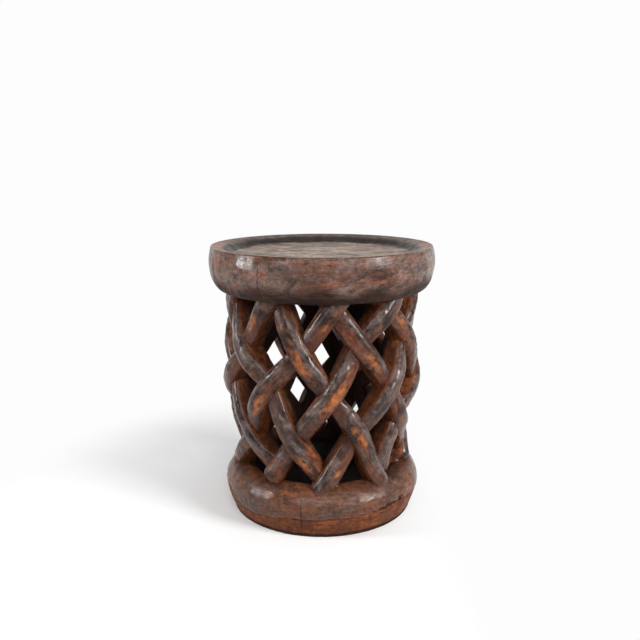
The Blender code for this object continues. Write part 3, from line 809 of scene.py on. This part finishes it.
def strand_route(number, leans_right):
    """Crossings of a strand from the seat down, with one more beyond each end in the same line."""
    knots = np.array([crossing(row, number - (row + 1) // 2 if leans_right else number + row // 2)
                      for row in range(ROWS)])
    return np.vstack([2 * knots[0] - knots[1], knots, 2 * knots[-1] - knots[-2]])


def along(route, station):
    """Smooth curve through the crossings (a cardinal spline); station 1 is one row further down."""
    span = np.clip(np.floor(station).astype(int), 0, ROWS - 2)
    t = (station - span)[:, None]
    before, start, end, after = (route[span + i] for i in range(4))
    return ((2 * t ** 3 - 3 * t ** 2 + 1) * start + (t ** 3 - 2 * t ** 2 + t) * (end - before) / 2
            + (3 * t ** 2 - 2 * t ** 3) * end + (t ** 3 - t ** 2) * (after - start) / 2)


def strand_surface(number, leans_right, seed):
    """Points and masks of one strand: its section carried along its route round the drum.

    At each station the section's sideways share runs square to the route on the drum's skin and
    its inward share towards the axis. The outer face sinks in a cosine wave where the strand goes
    under. The feet that lie on top end on the base in a rounded nose, and the others behind them.
    """
    draw = np.random.default_rng(seed)
    outline = smooth_line(SECTION, SECTION_POINTS)[:-1]
    upper_side = 1
    if leans_right:
        outline, upper_side = outline[::-1], -1
    share, depth = outline[None, :, 0], outline[None, :, 1]
    ends_short = not leans_right and number + 1 in SHORT_FEET
    station = np.linspace(ROUTE_START, SHORT_ROUTE_END if ends_short else ROUTE_END, ROUTE_POINTS)
    route = strand_route(number, leans_right)
    centre = along(route, station)
    ahead = along(route, station + HALF_STEP) - along(route, station - HALF_STEP)
    radius = drum_radius(centre[:, 1])
    ahead[:, 0] *= radius
    step = np.hypot(np.diff(centre[:, 0]) * radius[:-1], np.diff(centre[:, 1]))
    travelled = np.concatenate([[0.0], np.cumsum(step)])
    ahead /= np.linalg.norm(ahead, axis=1)[:, None]
    phase = station if leans_right else station + 1
    under = (1 - np.cos(math.pi * phase)) / 2
    on_top = (leans_right, number + 1) == FOOT_ON_TOP
    if on_top:
        under = under * rise(station, *FOOT_COMES_UP)
    if (leans_right, number + 1) == FOOT_BEHIND:
        # Past its fourth crossing it stays a third of the way under, then sinks behind the fifth
        half_under = 0.35 + 0.65 * rise(station, 3.30, 3.00)
        under = np.where(station > 3.0, np.maximum(half_under, rise(station, 3.60, 3.95)), under)
    swell = 1 + BREADTH_SWELLS * np.cos(2 * math.pi * station[:, None] * draw.uniform(0.35, 0.8, 3)
                                        + draw.uniform(0.0, 6.0, 3)).sum(axis=1)
    width = STRAND_WIDTH / 2 * swell * (1 + UPPER_WIDER * (1 - under))
    has_nose = leans_right or on_top
    nose = np.clip((station - NOSE_START) / NOSE_LENGTH, 0.0, 1.0) if has_nose else 0 * station
    narrow = np.sqrt(np.clip(1 - NOSE_NARROWING * nose ** 2, 0.0, 1.0))
    across = share * upper_side * (width * narrow)[:, None]
    face = np.clip(1 - depth, 0.0, 1.0)
    drawn_in = NOSE_DRAWN_IN * (1 - np.sqrt(np.clip(1 - nose ** 2, 0.0, 1.0)))
    crisp = 0.5 + 0.5 * np.sin(1.9 * station + draw.uniform(0.0, 6.0))
    ridge_line = np.exp(-((share - RIDGE_PLACE) / RIDGE_BREADTH) ** 2) * (depth < 0.3)
    ridge = RIDGE_HEIGHT * crisp[:, None] * ridge_line
    tilt = draw.uniform(-TILT, TILT) + TILT * np.sin(2.2 * station + draw.uniform(0.0, 6.0))
    pared = 0 * across
    for leans, own_number, middle, half_length, cut in STRAND_PARED:
        if (leans, own_number) == (leans_right, number + 1):
            pared = pared + cut * np.exp(-((station[:, None] - middle) / half_length) ** 2)
    pared = pared * np.clip((share - 0.05) / 0.95, 0.0, 1.0) * face
    inward = (depth * STRAND_DEPTH - ridge + pared + face * (STRAND_DIP * under ** 1.3 + drawn_in)[:, None]
              + face * across * tilt[:, None])
    angle = centre[:, :1] + across * -ahead[:, 1:] / radius[:, None]
    height = centre[:, 1:] + across * ahead[:, :1]
    out = drum_radius(height) - inward
    spot = round_axis(out, angle, height)
    lumps = unevenness(spot, wavelength=0.028, seed=101 + seed)
    cuts = unevenness(spot, wavelength=0.011, seed=201 + seed)
    out = out - STRAND_SWELLS * (1 + lumps / 2) - STRAND_MARKS * (1 + cuts)
    points = round_axis(out, angle, height)
    points[:, :, 2] = np.clip(points[:, :, 2], STRAND_BOTTOM, STRAND_TOP)

    worn_places = [entry[2:] for entry in STRAND_WORN if entry[:2] == (leans_right, number + 1)]
    if not worn_places:
        worn_places = [(draw.uniform(0.3, 4.0), draw.uniform(-0.5, 0.1), draw.uniform(0.2, 0.4), 0.45,
                        draw.uniform(0.6, 1.0)) for _ in range(WORN_PLACES_UNSEEN)]
    worn = 0 * across
    for middle, sideways, half_length, half_breadth, strength in worn_places:
        worn = worn + strength * np.exp(-((station[:, None] - middle) / half_length) ** 2
                                        - ((share - sideways) / half_breadth) ** 2)
    outer = rise(depth, *FLANK_TO_OUTER)
    ridge_highlight = np.exp(-((share - RIDGE_PLACE - 0.05) / 0.09) ** 2) * outer
    masks = {
        "flank": np.maximum(rise(depth, *OUTER_TO_FLANK) + 0 * across, rise(pared, *PARED_TO_FLANK)),
        "ridge": ridge_highlight * (0.35 + 0.65 * crisp)[:, None],
        "inside": rise(depth, *FLANK_TO_INSIDE) + 0 * across,
        "upper": rise(share, -0.40, 0.60) * outer + 0 * across,
        "edge_wood_and_light": np.exp(-((depth - EDGE_PLACE) / EDGE_BREADTH) ** 2) * (1 - 0.6 * under)[:, None],
        "under_shade_and_grime": rise(under, 0.55, 1.0)[:, None] * outer,
        "worn": np.clip(worn, 0.0, 1.0) * outer * (1 - 0.7 * rise(under, 0.6, 1.0))[:, None],
    }
    lengthwise = np.stack([travelled[:, None] + 0 * across, across, inward], axis=-1)
    return points, masks, lengthwise + draw.uniform(0.0, 3.0, 3)


def add_lengthwise(piece, values):
    """A place on each vertex that runs along the strand, across it and inwards, for its grain."""
    attribute = piece.data.attributes.new("lengthwise", "FLOAT_VECTOR", "POINT")
    flat = values.reshape(-1, 3)
    full = np.vstack([flat, flat[:1], flat[-1:]]).astype(np.float32)
    attribute.data.foreach_set("vector", full.ravel())


strand_wood, tree, shader, place = new_wood("rubbed_strand_wood")
lengthwise = add_node(tree, "ShaderNodeAttribute", attribute_name="lengthwise").outputs["Vector"]
drawn_out = add_stretch(tree, lengthwise, (0.7, 1.0, 1.0))
skin = use_group(tree, patina, {
    "Place": drawn_out, "Brown": colour(99, 58, 39), "Bloom": colour(107, 86, 78),
    "Red": colour(120, 62, 38), "Soot": colour(24, 13, 9),
    "Bloom share": 0.45, "Red share": 0.42, "Soot share": 0.90})
fibres = use_group(tree, grain, {"Place": lengthwise, "Squeeze": (0.12, 1.0, 1.0)})
worn = use_group(tree, rubbed, {"Place": drawn_out, "Worn": read_mask(tree, "worn")})
flank = read_mask(tree, "flank")
inside = read_mask(tree, "inside")
# Bare wood on the flanks, and slate-grey polish with painted sheen in ragged patches near the upper edges
bare_clouds = add_range(tree, add_noise(tree, drawn_out, 55.0, 5.0, 0.66, 0.4), 0.40, 0.62)
bare = add_mix(tree, bare_clouds, colour(134, 75, 38), colour(74, 39, 22))
bare = add_mix(tree, add_math(tree, "MULTIPLY", fibres["Tone"], 0.40), bare, colour(52, 27, 16))
slate_clouds = add_range(tree, add_noise(tree, drawn_out, 50.0, 4.0, 0.60, 0.5), 0.38, 0.64)
slate = add_mix(tree, slate_clouds, colour(32, 23, 20), colour(112, 97, 93))
ragged = add_math(tree, "MULTIPLY", add_noise(tree, drawn_out, 45.0, 5.0, 0.66, 0.6), 1.3)
slate_and_sheen_share = add_range(tree, add_math(tree, "ADD", read_mask(tree, "upper"), ragged), 0.95, 1.20)
tone = add_mix(tree, add_math(tree, "MULTIPLY", fibres["Tone"], 0.30), skin["Colour"], colour(50, 34, 28))
# Slate-grey polish on the upper side, its lighter tones a painted sheen
tone = add_mix(tree, add_math(tree, "MULTIPLY", slate_and_sheen_share, 0.72), tone, slate)
tone = add_mix(tree, add_math(tree, "MULTIPLY", worn["Share"], 0.90), tone, worn["Colour"])
# A painted highlight along the ridge
tone = add_mix(tree, read_mask(tree, "ridge", 0.30), tone, colour(140, 120, 112))
# Painted shade, with grime, where a strand goes under another
tone = add_mix(tree, read_mask(tree, "under_shade_and_grime", 0.75), tone, colour(66, 29, 18))
tone = add_mix(tree, add_math(tree, "MULTIPLY", flank, 0.92), tone, bare)
# Lighter orange along the flank's outer edge: bare wood, with painted light that fades inwards and where
# the strand goes under
tone = add_mix(tree, read_mask(tree, "edge_wood_and_light", 0.50), tone, colour(158, 88, 48))
# Painted shade: the flank darkens towards the inner face inside the hollow
tone = add_mix(tree, inside, tone, colour(48, 29, 19))
# The outer faces are polished, and the flanks, the inner faces and the worn places are duller
handled = add_range(tree, add_noise(tree, place, 65.0, 4.0), 0.38, 0.62, 0.00, 0.16)
roughness = add_math(tree, "ADD", add_range(tree, flank, 0.0, 1.0, 0.19, 0.56), handled)
roughness = add_math(tree, "ADD", roughness, add_math(tree, "MULTIPLY", inside, 0.25))
roughness = add_math(tree, "ADD", roughness, add_math(tree, "MULTIPLY", worn["Share"], 0.08))
relief = add_math(tree, "ADD", fibres["Height"], add_noise(tree, place, 80.0, 4.0))
finish_wood(tree, shader, tone, skin["Speck"], roughness, relief, distance=0.0010, strength=0.22)

for leans_right, side in ((True, "right"), (False, "left")):
    for number in range(STRANDS_EACH_WAY):
        own_seed = number + 20 * leans_right
        points, masks, lengthwise_places = strand_surface(number, leans_right, own_seed)
        strand = add_surface(f"{side}_strand_{number + 1}", points, (None, None))
        for name, values in masks.items():
            add_mask(strand, name, values)
        add_lengthwise(strand, lengthwise_places)
        strand.data.materials.append(strand_wood)
        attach(strand, "root")
        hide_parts(f"{side}_leaning_strand_{number + 1}")


# Floor and light
# A plain pale floor that bends up into a white backdrop, a broad soft lamp from the right, a
# narrower one from the left and gentle ones from the front and above, in an even white room.
FLOOR_HALF_WIDTH = 6.0
FLOOR_FRONT = -4.0
FLOOR_BACK = 2.6
BEND_RADIUS = 1.2
BEND_POINTS = 24
WALL_HEIGHT = 4.0
WHITE = (1.0, 1.0, 1.0, 1.0)
# How white the backdrop is to the camera, and the floor's paint as seen and as it lights the wood
BACKDROP_STRENGTH = 0.98
FLOOR_SEEN = (0.98, 0.98, 0.98, 1.0)
FLOOR_LIGHTING = (0.30, 0.30, 0.30, 1.0)
# Strength of the room's light, and of the room as polished wood mirrors it
ROOM_LIGHT = 0.15
ROOM_MIRRORED = 0.20
LAMP_TARGET = (0.0, 0.0, 0.2)

turn = np.linspace(0.0, math.pi / 2, BEND_POINTS)
bend = np.stack([FLOOR_BACK + BEND_RADIUS * np.sin(turn), BEND_RADIUS * (1 - np.cos(turn))], axis=1)
floor_line = np.vstack([[(FLOOR_FRONT, 0.0)], bend, [(FLOOR_BACK + BEND_RADIUS, WALL_HEIGHT)]])
floor_points = np.array([(x, y, z) for y, z in floor_line for x in (-FLOOR_HALF_WIDTH, FLOOR_HALF_WIDTH)])
floor_faces = [(2 * i, 2 * i + 1, 2 * i + 3, 2 * i + 2) for i in range(len(floor_line) - 1)]
floor_mesh = bpy.data.meshes.new("pale_floor")
floor_mesh.from_pydata(floor_points.tolist(), [], floor_faces)
floor_mesh.shade_smooth()
floor = bpy.data.objects.new("pale_floor", floor_mesh)
bpy.context.scene.collection.objects.link(floor)

floor_paint, tree, shader, place = new_wood("floor_paint")
shader.inputs["Roughness"].default_value = 0.9
shader.inputs["Specular IOR Level"].default_value = 0.0
rays = add_node(tree, "ShaderNodeLightPath").outputs
mirrored = add_math(tree, "MAXIMUM", rays["Is Glossy Ray"], rays["Is Transmission Ray"])
seen = add_math(tree, "MAXIMUM", rays["Is Camera Ray"], mirrored)
tree.links.new(add_mix(tree, seen, FLOOR_LIGHTING, FLOOR_SEEN), shader.inputs["Base Color"])
# Away from the stool, and sooner on its bright side, the floor goes over into plain white
away = add_node(tree, "ShaderNodeVectorMath", {0: place}, operation="LENGTH").outputs["Value"]
white = add_node(tree, "ShaderNodeEmission", {"Color": WHITE, "Strength": BACKDROP_STRENGTH})
to_right = add_node(tree, "ShaderNodeSeparateXYZ", {0: place}).outputs["X"]
lit = add_math(tree, "MAXIMUM", add_range(tree, away, 0.33, 0.56), add_range(tree, to_right, 0.02, 0.20))
white_share = add_math(tree, "MULTIPLY", seen, lit)
blend = add_node(tree, "ShaderNodeMixShader", {0: white_share, 1: shader.outputs[0], 2: white.outputs[0]})
tree.links.new(blend.outputs[0], tree.nodes["Material Output"].inputs["Surface"])
floor_mesh.materials.append(floor_paint)


def add_lamp(name, place, width, height, power):
    """A flat rectangular lamp at a place, turned to face the middle of the stool."""
    lamp_data = bpy.data.lights.new(name, "AREA")
    lamp_data.shape = "RECTANGLE"
    lamp_data.size = width
    lamp_data.size_y = height
    lamp_data.energy = power
    lamp = bpy.data.objects.new(name, lamp_data)
    bpy.context.scene.collection.objects.link(lamp)
    lamp.location = place
    aim = np.array(LAMP_TARGET, float) - np.array(place, float)
    lamp.rotation_euler = (math.atan2(math.hypot(aim[0], aim[1]), -aim[2]), 0.0,
                           math.atan2(aim[0], -aim[1]) + math.pi)


add_lamp("right_lamp", (1.75, -1.18, 1.05), width=0.80, height=0.60, power=45.5)
add_lamp("left_lamp", (-1.70, -0.40, 0.75), width=0.35, height=0.7, power=18.5)
add_lamp("front_lamp", (-0.2, -1.9, 1.5), width=1.6, height=1.2, power=21.0)
add_lamp("overhead_lamp", (0.1, 0.2, 2.3), width=1.4, height=1.4, power=12.0)

world = bpy.data.worlds.new("pale_room")
bpy.context.scene.world = world
world.use_nodes = True
room = world.node_tree
rays = add_node(room, "ShaderNodeLightPath").outputs
mirrored = add_math(room, "MAXIMUM", rays["Is Glossy Ray"], rays["Is Transmission Ray"])
backdrop = add_math(room, "MULTIPLY", rays["Is Camera Ray"], BACKDROP_STRENGTH)
unseen = add_range(room, mirrored, 0.0, 1.0, ROOM_LIGHT, ROOM_MIRRORED)
strength = add_math(room, "MAXIMUM", unseen, backdrop)
room.nodes["Background"].inputs["Color"].default_value = WHITE
room.links.new(strength, room.nodes["Background"].inputs["Strength"])

bpy.context.scene.view_settings.view_transform = "Standard"
